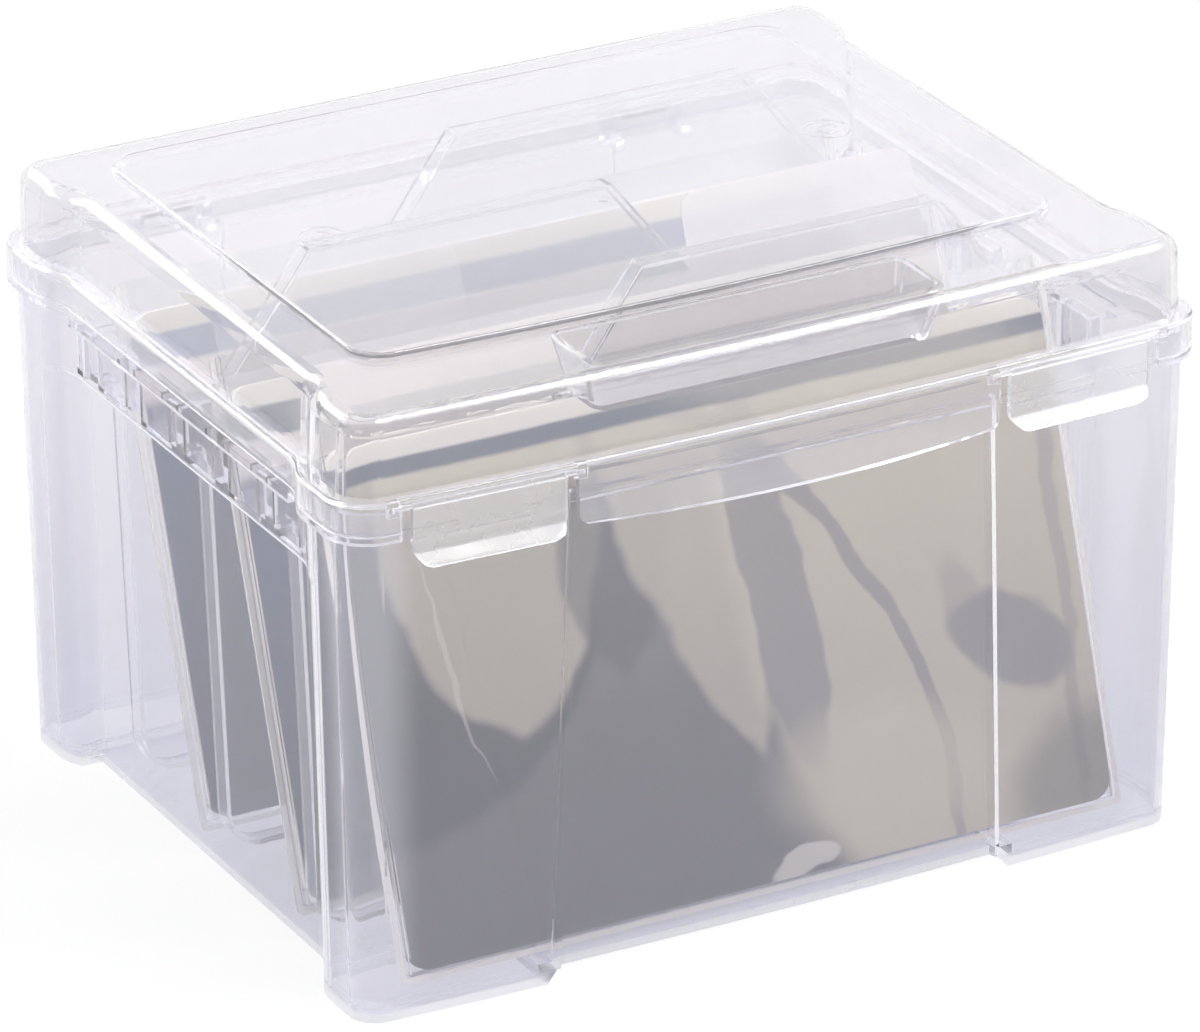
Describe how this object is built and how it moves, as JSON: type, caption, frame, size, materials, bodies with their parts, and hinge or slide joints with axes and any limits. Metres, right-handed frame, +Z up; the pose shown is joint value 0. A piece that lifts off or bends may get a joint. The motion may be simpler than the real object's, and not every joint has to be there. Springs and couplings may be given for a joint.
{
  "type": "card storage box",
  "caption": "Clear hinged storage box with a waisted tub, a latched lid with a pull lip and finger pocket, slotted side walls, tabbed dividers and leaning packs of sleeved cards.",
  "frame": {"origin": "under the middle of the box, on the plane that its feet stand on", "axes": "+X to the right across the front, +Y to the back where the lid hinges, +Z up"},
  "size_m": [0.26, 0.2298, 0.1752],
  "materials": {
    "clear_tub": "gloss",
    "clear_lid": "gloss",
    "clear_latch": "gloss",
    "clear_divider": "gloss",
    "clear_sleeve": "gloss",
    "printed_card": "printed",
    "dark_card": "printed",
    "frosted_sheet": "frosted"
  },
  "bodies": {
    "tub": {"tub": "clear_tub"},
    "lid": {"lid": "clear_lid"},
    "latch_left": {"latch_left": "clear_latch"},
    "latch_right": {"latch_right": "clear_latch"},
    "divider_front": {"divider_front": "clear_divider"},
    "divider_middle": {"divider_middle": "clear_divider"},
    "divider_back": {"divider_back": "clear_divider"},
    "pack_front": {"sleeve_front": "clear_sleeve", "card_front": "printed_card"},
    "pack_middle": {"sleeve_middle": "clear_sleeve", "card_middle": "dark_card", "index_card_left": "frosted_sheet", "index_card_right": "frosted_sheet"},
    "pack_back": {"sleeve_back": "clear_sleeve", "card_back": "dark_card"}
  },
  "joints": [
    {"name": "lid_hinge", "type": "hinge", "parent": "tub", "child": "lid", "pos_m": [0, 0.1105, 0.141], "axis": [-1, 0, 0], "range_deg": [0, 110]},
    {"name": "latch_left_hinge", "type": "hinge", "parent": "lid", "child": "latch_left", "pos_m": [-0.08855, -0.10663, 0.1489], "axis": [-0.9993, 0.0377, 0], "range_deg": [0, 95]},
    {"name": "latch_right_hinge", "type": "hinge", "parent": "lid", "child": "latch_right", "pos_m": [0.08855, -0.10663, 0.1489], "axis": [-0.9993, -0.0377, 0], "range_deg": [0, 95]},
    {"name": "divider_front_lift", "type": "slide", "parent": "tub", "child": "divider_front", "axis": [0, 0, 1], "range_m": [0, 0.0012]},
    {"name": "divider_middle_lift", "type": "slide", "parent": "tub", "child": "divider_middle", "axis": [0, 0, 1], "range_m": [0, 0.0012]},
    {"name": "divider_back_lift", "type": "slide", "parent": "tub", "child": "divider_back", "axis": [0, 0, 1], "range_m": [0, 0.0012]},
    {"name": "pack_front_tilt", "type": "hinge", "parent": "tub", "child": "pack_front", "pos_m": [0, -0.09449, 0.006], "axis": [1, 0, 0], "range_deg": [0, 12]},
    {"name": "pack_middle_tilt", "type": "hinge", "parent": "tub", "child": "pack_middle", "pos_m": [-0.0045, -0.04543, 0.006], "axis": [1, 0, 0], "range_deg": [0, 6]},
    {"name": "pack_back_tilt", "type": "hinge", "parent": "tub", "child": "pack_back", "pos_m": [-0.0045, 0.01111, 0.006], "axis": [1, 0, 0], "range_deg": [0, 12]}
  ]
}
